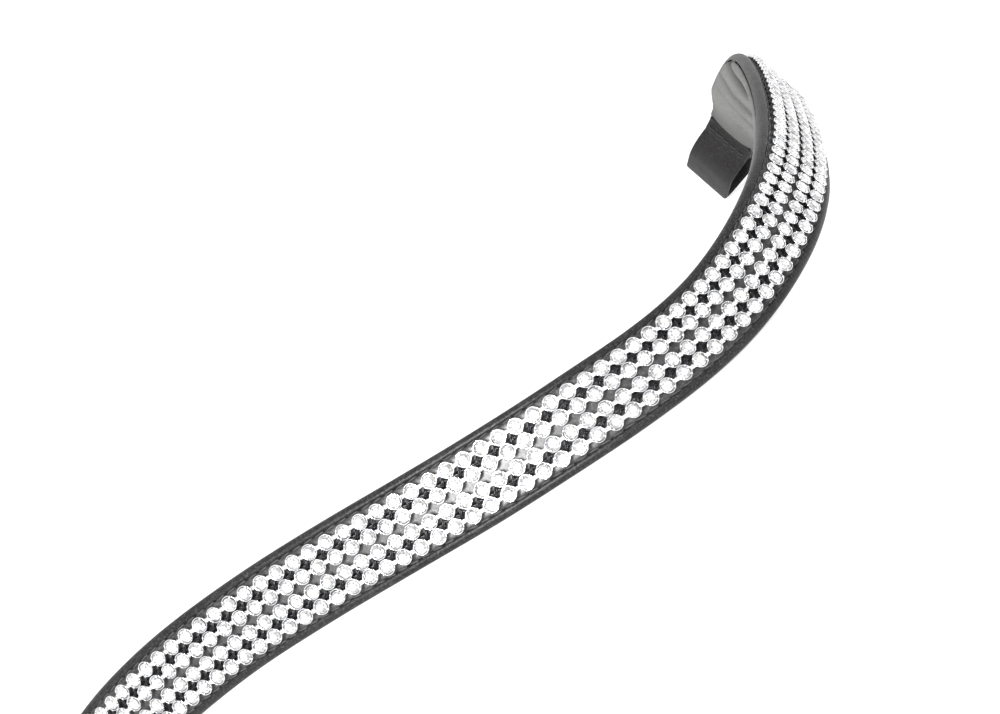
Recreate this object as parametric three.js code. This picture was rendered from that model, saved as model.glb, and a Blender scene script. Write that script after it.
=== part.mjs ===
// Browband of a snaffle bridle: a padded leather strap that crosses the horse's forehead, with four rows of
// crystal cup chain sewn into a channel between two raised rims, and a loop at each end for the headpiece.
//
// Each piece is first made flat, as leather is cut, and then bent along one shared centre line. A flat place is
// (along, across, out): distance along the band from its middle, distance towards the upper edge, and height
// above the plane of the stones. The left half mirrors the right. Millimetres and degrees, +Z up, front towards -Y.

import * as THREE from "three";

// Band
const HALF_LENGTH = 203; // from the middle to the fold of a loop, half of a full-size browband's 406
const HALF_WIDTH = 8.3;
const END_HALF_WIDTH = 6.3;
const TAPER_FROM = 159; // the band narrows between these two distances
const TAPER_TO = 170;
const STEP = 6.5; // length of one straight step of a bent piece

// How the centre line turns, in degrees for each 10 mm: sweep is the wave cut into the leather, wrap is the bend
// round the forehead, and twist leans the band's face. Values between two places are straight-line blends.
const BENDS = [
  { at: 0, sweep: 7.5, wrap: 3.9, twist: 0 },
  { at: 30, sweep: 2.2, wrap: 10.2, twist: 3.0 },
  { at: 60, sweep: 1.0, wrap: 2.6, twist: 1.8 },
  { at: 100, sweep: -1.7, wrap: 2.0, twist: 0.4 },
  { at: 145, sweep: -4.0, wrap: 5.6, twist: 0.6 },
  { at: 203, sweep: 4.3, wrap: -8.8, twist: -0.8 },
];
const LEAN = 17.61; // tips the band back until its middle and both loops touch the ground

// Layers, as heights above the plane of the stones
const GAP = 0.25; // between neighbouring pieces
const FLOOR = -1.7; // channel floor, under the chains
const FRONT_THICKNESS = 1;
const FRONT_FOOT = -3.4; // bottom edge of the front leather
const RIM_RADIUS = 1.3;
const RIM_CENTRE = -2.3;
const RIM_WALL = 0.55; // leather round a filler cord
const CORD_RADIUS = 0.5;
const WEB_HALF_WIDTH = 6;
const WEB_THICKNESS = 0.35;
const PAD_TOP = -3.6;
const PAD_SIDE = -4; // the padding bulges below here
const PAD_BULGE = 0.95;
const PAD_HALF_WIDTH = 7;
const LINING_TOP = -3.65;
const LINING_THICKNESS = 0.8;
const LINING_BULGE = 2;
const LINING_HALF_WIDTH = 8.05;
const THIN_FROM = 140; // padding and lining thin down towards the loops between these two distances
const THIN_TO = 163;
const THIN_RATIO = 0.5;

// Where the layers end, along the band
const PAD_END = 163;
const WEB_END = 163;
const CORD_END = 163;
const FRONT_END = 171.9;
const LINING_END = 171.9;

// Crystal chains
const PITCH = 3.8; // from one stone to the next
const STONES_EACH_SIDE = 41; // besides the middle one
const CHAIN_PLACES = [4.755, 1.635, -1.635, -4.755]; // across the band, from the upper edge down
const CUP_RADIUS = 1.45;
const CUP_FOOT_RADIUS = 0.8;
const CUP_FOOT = -1.4;
const STONE_TOP = 0.5;
const LINK_RATIO = 0.3; // width of a link against a cup

// Threads
const HOLD_THREAD_RADIUS = 0.28; // between the outer and inner chains
const HOLD_THREAD_HEIGHT = -1.12;
const EDGE_THREAD_RADIUS = 0.14; // at the foot of each rim
const EDGE_THREAD_PLACE = 6.02;
const EDGE_THREAD_HEIGHT = -1.1;

// Loops: a strap folded on itself, held by a thin tail between the front leather and the lining
const LOOP_HALF_WIDTH = 5.6;
const LOOP_START = 172.5;
const LOOP_TAIL_START = 164.5;
const LOOP_TAIL_TOP = -2.95;
const LOOP_TAIL_THICKNESS = 0.4;
const LOOP_STRAP = 1.3; // thickness of the strap
const LOOP_OPENING = 7.2;
const LOOP_FRONT = 0.6; // front face of a loop
const LOOP_ROOT = 5.5; // length over which both legs are sewn together
const LOOP_RISE = 9; // length over which the legs part to the full opening
const LOOP_THREAD_RADIUS = 0.25;
const LOOP_THREAD_PLACE = 175;
const LOOP_THREAD_HALF_LENGTH = 4.6;

const radians = THREE.MathUtils.degToRad;

// Value of one of the BENDS at a distance from the middle.
function bendAt(key, distance) {
  const next = Math.max(1, BENDS.findIndex((bend) => bend.at >= distance));
  const [a, b] = [BENDS[next - 1], BENDS[next]];
  return THREE.MathUtils.mapLinear(distance, a.at, b.at, a[key], b[key]);
}

// Centre line of the right half, one frame for each millimetre: x along the band, y across it, z out of its face.
function makeCentreLine() {
  const middle = new THREE.Matrix4().makeBasis(
    new THREE.Vector3(1, 0, 0),
    new THREE.Vector3(0, 0, 1),
    new THREE.Vector3(0, -1, 0),
  );
  const turn = new THREE.Quaternion().setFromRotationMatrix(middle);
  const point = new THREE.Vector3();
  const frames = [{ point: point.clone(), turn: turn.clone() }];
  for (let distance = 0.5; distance < HALF_LENGTH; distance += 1) {
    const [twist, wrap, sweep] = ["twist", "wrap", "sweep"].map((key) => radians(bendAt(key, distance)) / 10);
    const axis = new THREE.Vector3(twist, wrap, sweep);
    const angle = axis.length();
    axis.normalize();
    const halfTurn = new THREE.Quaternion().setFromAxisAngle(axis, angle / 2);
    turn.multiply(halfTurn);
    point.add(new THREE.Vector3(1, 0, 0).applyQuaternion(turn));
    turn.multiply(halfTurn);
    frames.push({ point: point.clone(), turn: turn.clone() });
  }
  return frames;
}

const centreLine = makeCentreLine();

// Point in space of a flat place.
function place(along, across, out) {
  const distance = Math.abs(along);
  const index = Math.min(Math.floor(distance), centreLine.length - 2);
  const [a, b] = [centreLine[index], centreLine[index + 1]];
  const part = distance - index;
  const turn = a.turn.clone().slerp(b.turn, Math.min(part, 1));
  const point = a.point.clone().lerp(b.point, part);
  point.add(new THREE.Vector3(0, across, out).applyQuaternion(turn));
  point.x *= Math.sign(along) || 1;
  return point;
}

// Moves every vertex of a flat geometry to its place: toFlat turns the vertex into [along, across, out].
function bend(geometry, toFlat) {
  const positions = geometry.getAttribute("position");
  const vertex = new THREE.Vector3();
  for (let i = 0; i < positions.count; i++) {
    vertex.fromBufferAttribute(positions, i);
    const point = place(...toFlat(vertex));
    positions.setXYZ(i, point.x, point.y, point.z);
  }
  geometry.computeVertexNormals();
  return geometry;
}

// Width of the leather at a distance from the middle, against its full width.
function widthRatio(along) {
  const part = THREE.MathUtils.smoothstep(Math.abs(along), TAPER_FROM, TAPER_TO);
  return THREE.MathUtils.lerp(1, END_HALF_WIDTH / HALF_WIDTH, part);
}

// A layer of the band: a section, drawn as (across, out), run from one end of the band to the other. A layer that
// thins down keeps the height of its top.
function layer(section, end, curveSegments, thinFrom) {
  const steps = Math.ceil((2 * end) / STEP);
  const flat = new THREE.ExtrudeGeometry(section, { depth: 2 * end, steps, curveSegments, bevelEnabled: false });
  const height = (along, out) => {
    if (thinFrom === undefined) return out;
    const part = THREE.MathUtils.smoothstep(Math.abs(along), THIN_FROM, THIN_TO);
    return thinFrom + (out - thinFrom) * THREE.MathUtils.lerp(1, THIN_RATIO, part);
  };
  return bend(flat, ({ x, y, z }) => [z - end, x * widthRatio(z - end), height(z - end, y)]);
}

function circleSection(x, y, radius) {
  return new THREE.Shape().absarc(x, y, radius, 0, 2 * Math.PI);
}

// Front leather: a flat channel between two rims, each open behind for its filler cord.
function frontLeather() {
  const rim = HALF_WIDTH - RIM_RADIUS;
  const pocket = RIM_RADIUS - RIM_WALL;
  const meet = Math.asin((FLOOR - RIM_CENTRE) / RIM_RADIUS);
  const under = FLOOR - FRONT_THICKNESS;
  const section = new THREE.Shape();
  section.moveTo(HALF_WIDTH, FRONT_FOOT);
  section.absarc(rim, RIM_CENTRE, RIM_RADIUS, 0, Math.PI - meet);
  section.absarc(-rim, RIM_CENTRE, RIM_RADIUS, meet, Math.PI);
  section.lineTo(-HALF_WIDTH, FRONT_FOOT);
  section.lineTo(-rim - pocket, FRONT_FOOT);
  section.absarc(-rim, RIM_CENTRE, pocket, Math.PI, 0, true);
  section.lineTo(-rim + pocket, under);
  section.lineTo(rim - pocket, under);
  section.absarc(rim, RIM_CENTRE, pocket, Math.PI, 0, true);
  section.lineTo(rim + pocket, FRONT_FOOT);
  return layer(section, FRONT_END, 2);
}

function rimCord(side) {
  return layer(circleSection(side * (HALF_WIDTH - RIM_RADIUS), RIM_CENTRE, CORD_RADIUS), CORD_END, 3);
}

function stiffenerWeb() {
  const top = FLOOR - FRONT_THICKNESS - GAP;
  const corners = [
    [-WEB_HALF_WIDTH, top],
    [WEB_HALF_WIDTH, top],
    [WEB_HALF_WIDTH, top - WEB_THICKNESS],
    [-WEB_HALF_WIDTH, top - WEB_THICKNESS],
  ];
  return layer(new THREE.Shape(corners.map(([x, y]) => new THREE.Vector2(x, y))), WEB_END, 1);
}

function foamPad() {
  const section = new THREE.Shape();
  section.moveTo(PAD_HALF_WIDTH, PAD_TOP);
  section.lineTo(-PAD_HALF_WIDTH, PAD_TOP);
  section.absellipse(0, PAD_SIDE, PAD_HALF_WIDTH, PAD_BULGE, Math.PI, 2 * Math.PI, false, 0);
  return layer(section, PAD_END, 3, PAD_TOP);
}

// Lining: a soft leather tray that wraps the padding from behind.
function liningLeather() {
  const inner = LINING_HALF_WIDTH - LINING_THICKNESS;
  const section = new THREE.Shape();
  section.moveTo(LINING_HALF_WIDTH, LINING_TOP);
  section.lineTo(inner, LINING_TOP);
  section.absellipse(0, PAD_SIDE, inner, LINING_BULGE - LINING_THICKNESS, 0, Math.PI, true, 0);
  section.lineTo(-inner, LINING_TOP);
  section.lineTo(-LINING_HALF_WIDTH, LINING_TOP);
  section.absellipse(0, PAD_SIDE, LINING_HALF_WIDTH, LINING_BULGE, Math.PI, 2 * Math.PI, false, 0);
  return layer(section, LINING_END, 3, LINING_TOP);
}

// Cup chain: one strip that is wide at each stone and narrow at each link.
function crystalChain(across) {
  const end = (STONES_EACH_SIDE + 0.5) * PITCH;
  const corners = [
    [-CUP_FOOT_RADIUS, CUP_FOOT],
    [CUP_FOOT_RADIUS, CUP_FOOT],
    [CUP_RADIUS, STONE_TOP],
    [-CUP_RADIUS, STONE_TOP],
  ];
  const section = new THREE.Shape(corners.map(([x, y]) => new THREE.Vector2(x, y)));
  const steps = 2 * (2 * STONES_EACH_SIDE + 1);
  const flat = new THREE.ExtrudeGeometry(section, { depth: 2 * end, steps, bevelEnabled: false });
  const narrow = (along) => THREE.MathUtils.lerp(1, LINK_RATIO, Math.sin((Math.PI * along) / PITCH) ** 2);
  return bend(flat, ({ x, y, z }) => [z - end, across + x * narrow(z - end), y]);
}

// Thread that lies along the chains, one step for each stone.
function threadAlong(across, out, radius) {
  const end = STONES_EACH_SIDE * PITCH;
  const flat = new THREE.ExtrudeGeometry(circleSection(across, out, radius), {
    depth: 2 * end,
    steps: 2 * STONES_EACH_SIDE,
    curveSegments: 2,
    bevelEnabled: false,
  });
  return bend(flat, ({ x, y, z }) => [z - end, x, y]);
}

// Outline of a loop seen from its edge, as (along, out): a thin tail, a sewn root, and two legs round a slot.
function loopOutline() {
  const slotRadius = LOOP_OPENING / 2;
  const radius = slotRadius + LOOP_STRAP;
  const fold = HALF_LENGTH - radius;
  const centre = LOOP_FRONT - radius;
  const tailFoot = LOOP_TAIL_TOP - LOOP_TAIL_THICKNESS;
  const rootMiddle = LOOP_TAIL_TOP - LOOP_STRAP;
  const rootBack = rootMiddle - LOOP_STRAP;
  const sewn = LOOP_START + LOOP_ROOT;
  const swell = sewn + LOOP_RISE / 3;
  const parted = sewn + LOOP_RISE;
  const outline = new THREE.Shape();
  outline.moveTo(LOOP_TAIL_START, tailFoot);
  outline.lineTo(LOOP_START, tailFoot);
  outline.lineTo(LOOP_START, rootBack);
  outline.lineTo(sewn, rootBack);
  outline.quadraticCurveTo(swell, centre - radius, parted, centre - radius);
  outline.absarc(fold, centre, radius, -Math.PI / 2, Math.PI / 2);
  outline.lineTo(parted, LOOP_FRONT);
  outline.quadraticCurveTo(swell, LOOP_FRONT, sewn, LOOP_TAIL_TOP);
  outline.lineTo(LOOP_TAIL_START, LOOP_TAIL_TOP);
  const slot = new THREE.Path();
  slot.moveTo(sewn, rootMiddle);
  slot.quadraticCurveTo(swell, centre + slotRadius, parted, centre + slotRadius);
  slot.absarc(fold, centre, slotRadius, Math.PI / 2, -Math.PI / 2, true);
  slot.lineTo(parted, centre - slotRadius);
  slot.quadraticCurveTo(swell, centre - slotRadius, sewn, rootMiddle);
  outline.holes.push(slot);
  return outline;
}

// A piece of one loop, drawn as (along, out) and run across the band. Turning it over makes the left one.
function crosswise(outline, side, halfWidth, curveSegments) {
  const flat = new THREE.ExtrudeGeometry(outline, { depth: 2 * halfWidth, curveSegments, bevelEnabled: false });
  flat.translate(0, 0, -halfWidth);
  if (side < 0) flat.rotateX(Math.PI);
  return bend(flat, ({ x, y, z }) => [side * x, -z, side * y]);
}

function loop(side) {
  return crosswise(loopOutline(), side, LOOP_HALF_WIDTH, 5);
}

// Row of thread across the root of a loop.
function loopThread(side) {
  const out = LOOP_TAIL_TOP - 2 * LOOP_STRAP - GAP - LOOP_THREAD_RADIUS;
  const section = circleSection(LOOP_THREAD_PLACE, out, LOOP_THREAD_RADIUS);
  return crosswise(section, side, LOOP_THREAD_HALF_LENGTH, 2);
}

function material(color, roughness, metalness) {
  return new THREE.MeshStandardMaterial({ color, roughness, metalness });
}

const blackLeather = () => material(0x2b2a2b, 0.45, 0);
const softLeather = () => material(0x4a4949, 0.55, 0);
const crystal = () => material(0xe8eaee, 0.08, 0.9);
const thread = () => material(0x161616, 0.8, 0);
const cordCotton = () => material(0xd8d2c4, 0.9, 0);
const whiteNylon = () => material(0xe6e6e0, 0.7, 0);
const foam = () => material(0x8c8c8c, 0.95, 0);

const band = new THREE.Group();

function add(name, geometry, finish) {
  const mesh = new THREE.Mesh(geometry, finish);
  mesh.name = name;
  band.add(mesh);
}

add("front_leather", frontLeather(), blackLeather());
add("lining_leather", liningLeather(), softLeather());
add("foam_pad", foamPad(), foam());
add("stiffener_web", stiffenerWeb(), whiteNylon());
CHAIN_PLACES.forEach((across, row) => add(`crystal_chain_${row + 1}`, crystalChain(across), crystal()));
for (const [edge, side] of [["upper", 1], ["lower", -1]]) {
  const between = (side * (Math.abs(CHAIN_PLACES[0]) + Math.abs(CHAIN_PLACES[1]))) / 2;
  add(`rim_cord_${edge}`, rimCord(side), cordCotton());
  add(`chain_thread_${edge}`, threadAlong(between, HOLD_THREAD_HEIGHT, HOLD_THREAD_RADIUS), thread());
  const edgePlace = side * EDGE_THREAD_PLACE;
  add(`edge_thread_${edge}`, threadAlong(edgePlace, EDGE_THREAD_HEIGHT, EDGE_THREAD_RADIUS), thread());
}
for (const [name, side] of [["right", 1], ["left", -1]]) {
  add(`loop_${name}`, loop(side), blackLeather());
  add(`loop_thread_${name}`, loopThread(side), thread());
}

// Stand the band on the ground, with the origin under the middle of its box.
band.rotation.x = -radians(LEAN);
const part = new THREE.Group();
part.add(band);
const box = new THREE.Box3().setFromObject(part, true);
const middle = box.getCenter(new THREE.Vector3());
part.position.set(-middle.x, -middle.y, -box.min.z);

export default part;
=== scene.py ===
import math

import bmesh
import bpy
import numpy as np
from mathutils import Matrix, Vector

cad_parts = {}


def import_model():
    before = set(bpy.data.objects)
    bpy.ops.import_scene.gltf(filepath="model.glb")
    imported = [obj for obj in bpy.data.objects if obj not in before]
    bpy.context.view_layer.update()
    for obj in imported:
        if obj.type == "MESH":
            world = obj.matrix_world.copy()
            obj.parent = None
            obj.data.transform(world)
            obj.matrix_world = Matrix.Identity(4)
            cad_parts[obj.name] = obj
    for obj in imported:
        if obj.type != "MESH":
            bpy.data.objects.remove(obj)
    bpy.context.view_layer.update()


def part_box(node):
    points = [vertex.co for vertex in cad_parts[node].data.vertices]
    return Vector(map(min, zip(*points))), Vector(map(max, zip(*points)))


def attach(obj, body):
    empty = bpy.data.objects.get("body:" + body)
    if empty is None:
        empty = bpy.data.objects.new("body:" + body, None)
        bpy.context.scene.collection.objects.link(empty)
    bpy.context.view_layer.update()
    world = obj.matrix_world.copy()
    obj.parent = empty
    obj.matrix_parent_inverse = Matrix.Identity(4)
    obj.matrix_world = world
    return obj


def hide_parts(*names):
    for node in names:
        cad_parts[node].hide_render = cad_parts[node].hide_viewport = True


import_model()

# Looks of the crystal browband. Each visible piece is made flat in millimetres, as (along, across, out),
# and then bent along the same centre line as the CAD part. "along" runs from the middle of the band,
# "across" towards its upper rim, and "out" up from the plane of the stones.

MM = 0.001
BODY = "root"
EDGES = (("upper", 1), ("lower", -1))  # name and side of the band's two edges

# Band, with the CAD part's own sizes (millimetres and degrees)
HALF_LENGTH = 203
HALF_WIDTH = 8.3
END_HALF_WIDTH = 6.3
TAPER_FROM = 159
TAPER_TO = 170
THIN_FROM = 140
THIN_TO = 163
THIN_RATIO = 0.5
LEAN = 17.61
BEND_AT = [0, 30, 60, 100, 145, 203]
BENDS = {  # degrees for each 10 mm: twist about the length, wrap round the forehead, sweep of the wave
    "twist": [0, 3.0, 1.8, 0.4, 0.6, -0.8],
    "wrap": [3.9, 10.2, 2.6, 2.0, 5.6, -8.8],
    "sweep": [7.5, 2.2, 1.0, -1.7, -4.0, 4.3],
}
GAP = 0.25
FLOOR = -1.7
FRONT_THICKNESS = 1
FRONT_FOOT = -3.4
FRONT_END = 171.9
RIM_CENTRE = -2.3
RIM_RADIUS = 1.3
RIM_WALL = 0.55
HIDDEN_END = 163  # of the padding, the tape and the cords
WEB_HALF_WIDTH = 6
WEB_THICKNESS = 0.35
PAD_TOP = -3.6
LINING_HALF_WIDTH = 8.05
LINING_BULGE = 2
LINING_SIDE = -4
LINING_THICKNESS = 0.8

# Crystal chains, with the CAD part's own sizes
PITCH = 3.8
STONES_EACH_SIDE = 41
CHAIN_PLACES = [4.755, 1.635, -1.635, -4.755]
CHAIN_END = STONES_EACH_SIDE * PITCH
CUP_RADIUS = 1.45
CUP_FOOT_RADIUS = 0.8
CUP_FOOT = -1.4
STONE_TOP = 0.5
LINK_RATIO = 0.3

# Loops, with the CAD part's own sizes
LOOP_HALF_WIDTH = 5.6
LOOP_START = 172.5
LOOP_TAIL_START = 164.5
LOOP_TAIL_TOP = -2.95
LOOP_STRAP = 1.3
LOOP_OPENING = 7.2
LOOP_FRONT = 0.6
LOOP_ROOT = 5.5
LOOP_RISE = 9

# Seams and rows of the looks, which several pieces share
ROW_SHIFT = 1.35  # the rows are sewn on a little nearer to the right loop
EDGE_SEAM = 6.55  # across the band
EDGE_STITCH = 2.6  # from one stitch to the next


# ---------------------------------------------------------------- centre line

def turn_matrix(vector):
    """Rotation matrix of a rotation vector in radians."""
    angle = np.linalg.norm(vector)
    x, y, z = vector / angle
    cross = np.array([[0, -z, y], [z, 0, -x], [-y, x, 0]])
    return np.eye(3) + math.sin(angle) * cross + (1 - math.cos(angle)) * cross @ cross


def make_centre_line():
    """Points and frames of the right half, one for each millimetre. A frame's columns are its directions
    along, across and out."""
    frame_now = np.array([[1.0, 0, 0], [0, 0, -1], [0, 1, 0]])
    point = np.zeros(3)
    points = [point]
    frames = [frame_now]
    bends = [BENDS[key] for key in ("twist", "wrap", "sweep")]
    for distance in np.arange(0.5, HALF_LENGTH, 1):
        rates = [math.radians(np.interp(distance, BEND_AT, bend)) / 10 for bend in bends]
        half_turn = turn_matrix(np.array(rates) / 2)
        frame_now = frame_now @ half_turn
        point = point + frame_now[:, 0]
        frame_now = frame_now @ half_turn
        points.append(point)
        frames.append(frame_now)
    return np.array(points), np.array(frames)


LINE_POINTS, LINE_FRAMES = make_centre_line()
LEAN_BACK = np.array(Matrix.Rotation(-math.radians(LEAN), 3, "X"))
MIRROR = np.array([-1.0, 1, 1])


def frames_at(along):
    """Centre-line points and frames at flat distances, before the lean, all as on the right half."""
    distance = np.abs(along)
    index = np.minimum(distance.astype(int), len(LINE_POINTS) - 2)
    part = distance - index
    points = LINE_POINTS[index] + (LINE_POINTS[index + 1] - LINE_POINTS[index]) * part[..., None]
    blend = np.minimum(part, 1)[..., None, None]
    frames = LINE_FRAMES[index] * (1 - blend) + LINE_FRAMES[index + 1] * blend
    return points, frames


def leaned(along, across, out):
    """Flat places bent and leaned back, in millimetres from the band's middle. The left half mirrors
    the right one."""
    along, across, out = np.broadcast_arrays(*[np.asarray(v, float) for v in (along, across, out)])
    points, frames = frames_at(along)
    points = points + frames[..., :, 1] * across[..., None] + frames[..., :, 2] * out[..., None]
    points = np.where(along[..., None] < 0, points * MIRROR, points)
    return points @ LEAN_BACK.T


def find_offset():
    """Where the band's middle is in the row frame, in millimetres, so that the first chain lies on its
    CAD node."""
    rings = np.arange(-(STONES_EACH_SIDE + 0.5), STONES_EACH_SIDE + 1, 0.5) * PITCH
    narrow = 1 + (LINK_RATIO - 1) * np.sin(np.pi * rings / PITCH) ** 2
    corners = []
    for radius, height in ((CUP_RADIUS, STONE_TOP), (CUP_FOOT_RADIUS, CUP_FOOT)):
        for side in (-1, 1):
            corners.append(leaned(rings, CHAIN_PLACES[0] + side * radius * narrow, height))
    made = np.concatenate(corners)
    low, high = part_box("crystal_chain_1")
    middle = (np.array(low) + np.array(high)) / 2
    return middle / MM - (made.min(0) + made.max(0)) / 2


OFFSET = find_offset()


def place(along, across, out):
    """Points in the row frame, in metres, of flat places in millimetres."""
    return (leaned(along, across, out) + OFFSET) * MM


# ---------------------------------------------------------------- helpers

HASH_X = 374761393  # odd factors that scramble the numbers of a noise cell
HASH_Y = 668265263
HASH_SEED = 2246822519
HASH_MIX = 1274126177
WORD = 0xFFFFFFFF  # keeps the lowest 32 bits
HALF_WORD = 0xFFFF


def smoothstep(x, start, end):
    part = np.clip((x - start) / (end - start), 0, 1)
    return part * part * (3 - 2 * part)


def noise(x, y, seed):
    """Smooth noise from -1 to 1 with one bump for each unit."""
    cell_x = np.floor(x).astype(np.int64)
    cell_y = np.floor(y).astype(np.int64)
    part_x = smoothstep(x - cell_x, 0, 1)
    part_y = smoothstep(y - cell_y, 0, 1)

    def corner(i, j):
        mixed = (i * HASH_X + j * HASH_Y + seed * HASH_SEED) & WORD
        mixed = ((mixed ^ (mixed >> 13)) * HASH_MIX) & WORD
        return ((mixed ^ (mixed >> 16)) & HALF_WORD) / (HALF_WORD / 2) - 1

    low = corner(cell_x, cell_y) * (1 - part_x) + corner(cell_x + 1, cell_y) * part_x
    high = corner(cell_x, cell_y + 1) * (1 - part_x) + corner(cell_x + 1, cell_y + 1) * part_x
    return low * (1 - part_y) + high * part_y


def bumps(along, across, layers):
    """Sum of noise layers, each (height, length along, length across, seed)."""
    total = 0
    for height, length, width, seed in layers:
        total += height * noise(along / length, across / width, seed)
    return total


def unit(vectors):
    """The vectors with their lengths made 1."""
    return vectors / np.linalg.norm(vectors, axis=-1, keepdims=True)


def width_ratio(along):
    """Width of the leather against its full width: it narrows towards the loops."""
    return 1 + (END_HALF_WIDTH / HALF_WIDTH - 1) * smoothstep(np.abs(along), TAPER_FROM, TAPER_TO)


def thinned(along, out, top):
    """Heights of a layer that gets thinner, below its top, towards the loops."""
    ratio = 1 + (THIN_RATIO - 1) * smoothstep(np.abs(along), THIN_FROM, THIN_TO)
    return top + (out - top) * ratio


def closed(outline):
    """The outline with its first point again at its end."""
    return np.vstack([outline, outline[:1]])


def distances(path):
    """Distance of each point of a path from its start."""
    return np.concatenate([[0], np.cumsum(np.linalg.norm(np.diff(path, axis=0), axis=1))])


def points_at(path, at):
    """Points at the given distances along a path in the plane."""
    length = distances(path)
    return np.stack([np.interp(at, length, path[:, k]) for k in range(2)], -1)


def rounded(outline, step, passes):
    """The closed outline with even steps and softened corners."""
    length = distances(closed(outline))[-1]
    count = int(length / step)
    points = points_at(closed(outline), np.arange(count) * length / count)
    for _ in range(passes):
        points = (np.roll(points, 1, axis=0) + 2 * points + np.roll(points, -1, axis=0)) / 4
    return points


def arc(centre_x, centre_y, radius_x, radius_y, start, end, count):
    """Points of an arc in the plane, from its start to its end in degrees."""
    angle = np.radians(np.linspace(start, end, count))
    return np.stack([centre_x + radius_x * np.cos(angle), centre_y + radius_y * np.sin(angle)], -1)


def quadratic(start, control, end, count):
    """Points of a quadratic curve."""
    part = np.linspace(0, 1, count)[:, None]
    start, control, end = (np.array(p, float) for p in (start, control, end))
    return (1 - part) ** 2 * start + 2 * part * (1 - part) * control + part ** 2 * end


def sweep(outline, end, step):
    """Flat places of an outline run from end to end of the band, as along, across and out. Each has a row
    for each section and a column for each point of the outline."""
    along = np.linspace(-end, end, int(2 * end / step) + 1)[:, None]
    across = outline[:, 0] * width_ratio(along)
    out = np.tile(outline[:, 1], (len(along), 1))
    return np.tile(along, (1, len(outline))), across, out


def make_piece(name, points, faces, materials, smooth=True):
    """A mesh object in the row frame with its faces turned outwards."""
    mesh = bpy.data.meshes.new(name)
    mesh.from_pydata(points.reshape(-1, 3).tolist(), [], faces)
    body = bmesh.new()
    body.from_mesh(mesh)
    bmesh.ops.recalc_face_normals(body, faces=body.faces)
    body.to_mesh(mesh)
    body.free()
    mesh.polygons.foreach_set("use_smooth", [smooth] * len(mesh.polygons))
    for material in materials:
        mesh.materials.append(material)
    piece = bpy.data.objects.new(name, mesh)
    bpy.context.scene.collection.objects.link(piece)
    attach(piece, BODY)
    return piece


def tube_faces(rings, sides):
    """Faces of rings of points joined into a tube with closed ends."""
    ring, side = np.meshgrid(np.arange(rings - 1), np.arange(sides), indexing="ij")
    a = ring * sides + side
    b = ring * sides + (side + 1) % sides
    faces = np.stack([a, b, b + sides, a + sides], -1).reshape(-1, 4).tolist()
    faces.append(list(range(sides - 1, -1, -1)))
    faces.append(list(range((rings - 1) * sides, rings * sides)))
    return faces


def tube(path, radius, sides):
    """Points and faces of a tube along a flat path. The radius may change along the path."""
    radius = np.broadcast_to(radius, len(path))
    tangent = unit(np.gradient(path, axis=0))
    side = unit(np.cross([0.0, 0, 1], tangent))
    above = np.cross(tangent, side)
    angle = np.arange(sides) * 2 * np.pi / sides
    ring = np.cos(angle)[None, :, None] * side[:, None, :]
    ring = ring + np.sin(angle)[None, :, None] * above[:, None, :]
    points = path[:, None, :] + ring * radius[:, None, None]
    return points.reshape(-1, 3), tube_faces(len(path), sides)


def join_copies(copies):
    """Many placed copies, each (points, faces), as one mesh."""
    points = []
    faces = []
    count = 0
    for some_points, some_faces in copies:
        points.append(some_points)
        faces.extend([[i + count for i in face] for face in some_faces])
        count += len(some_points)
    return np.concatenate(points), faces


def bent(points):
    """Points in the row frame, in metres, of flat points in millimetres."""
    return place(points[:, 0], points[:, 1], points[:, 2])


# ---------------------------------------------------------------- materials

# near black that the lining's colour is painted towards, as painted shade in its creases and near its
# ends
PAINTED_SHADE_COLOUR = (0.012, 0.012, 0.012, 1)
# painted fire: the crystal's colour is tinted by these, standing in for its dispersion
PAINTED_FIRE_TINTS = [(0.36, (0.93, 0.95, 1.0)), (0.5, (1, 1, 1)), (0.64, (1.0, 0.97, 0.93))]  # cool to warm


def grey(value):
    return (value, value, value)


def new_material(name):
    material = bpy.data.materials.new(name)
    material.use_nodes = True
    nodes = material.node_tree.nodes
    links = material.node_tree.links
    coordinates = nodes.new("ShaderNodeTexCoord")
    return material, nodes, links, nodes["Principled BSDF"], coordinates.outputs["Object"]


def noise_node(nodes, links, vector, scale, detail=4.0, roughness=0.55):
    node = nodes.new("ShaderNodeTexNoise")
    node.inputs["Scale"].default_value = scale
    node.inputs["Detail"].default_value = detail
    node.inputs["Roughness"].default_value = roughness
    links.new(vector, node.inputs["Vector"])
    return node.outputs["Fac"]


def ramp_node(nodes, links, value, stops):
    node = nodes.new("ShaderNodeValToRGB")
    while len(node.color_ramp.elements) < len(stops):
        node.color_ramp.elements.new(0.5)
    for element, (position, colour) in zip(node.color_ramp.elements, stops):
        element.position = position
        element.color = (*colour, 1)
    links.new(value, node.inputs["Fac"])
    return node.outputs["Color"]


def range_node(nodes, links, value, low, high):
    node = nodes.new("ShaderNodeMapRange")
    node.inputs["To Min"].default_value = low
    node.inputs["To Max"].default_value = high
    links.new(value, node.inputs["Value"])
    return node.outputs["Result"]


def mix_node(nodes, links, blend, factor, first, second):
    """Mix of two colours. The factor and the colours are sockets or constants."""
    node = nodes.new("ShaderNodeMix")
    node.data_type = "RGBA"
    node.blend_type = blend
    for value, socket in ((factor, "Factor"), (first, "A"), (second, "B")):
        if isinstance(value, bpy.types.NodeSocket):
            links.new(value, node.inputs[socket])
        else:
            node.inputs[socket].default_value = value
    return node.outputs["Result"]


def bump_node(nodes, links, height, strength, distance, before=None):
    node = nodes.new("ShaderNodeBump")
    node.inputs["Strength"].default_value = strength
    node.inputs["Distance"].default_value = distance
    links.new(height, node.inputs["Height"])
    if before is not None:
        links.new(before, node.inputs["Normal"])
    return node.outputs["Normal"]


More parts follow.
